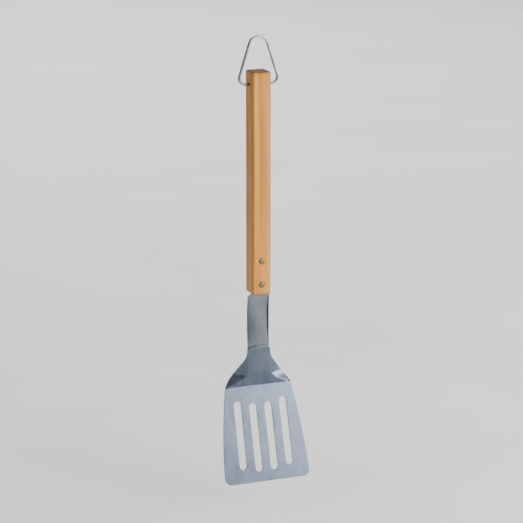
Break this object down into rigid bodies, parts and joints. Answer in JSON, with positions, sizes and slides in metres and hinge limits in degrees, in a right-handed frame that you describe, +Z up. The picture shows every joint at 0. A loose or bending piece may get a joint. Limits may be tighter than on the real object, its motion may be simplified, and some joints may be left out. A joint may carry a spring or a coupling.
{
  "type": "grill spatula",
  "caption": "Long-handled grill spatula: a slotted flared steel blade on a strip shank, a square hardwood handle held by rivets, and a folding triangular wire bail to hang it by.",
  "frame": {"origin": "the point inside the top of the bail where a hook touches it", "axes": "+Z up as the tool hangs, with the handle running down -Z; -Y is the side of the blade that carries food; +X is to the right of someone facing that side"},
  "size_m": [0.0946, 0.0419, 0.466],
  "materials": {
    "hardwood": "oiled, straight grain, slightly worn at the edges",
    "shank_steel": "dull brushed",
    "blade_steel": "satin brushed",
    "bail_wire": "drawn wire, dull",
    "rivet_metal": "dull, tarnished"
  },
  "bodies": {
    "spatula": {"handle": "hardwood", "shank": "shank_steel", "blade": "blade_steel", "upper_rivet_post": "rivet_metal", "upper_rivet_cap": "rivet_metal", "lower_rivet_post": "rivet_metal", "lower_rivet_cap": "rivet_metal"},
    "bail": {"bail": "bail_wire"}
  },
  "joints": [
    {"name": "bail_swing", "type": "hinge", "parent": "spatula", "child": "bail", "pos_m": [0, 0, -0.04705], "axis": [1, 0, 0], "range_deg": [-155, 155]}
  ]
}
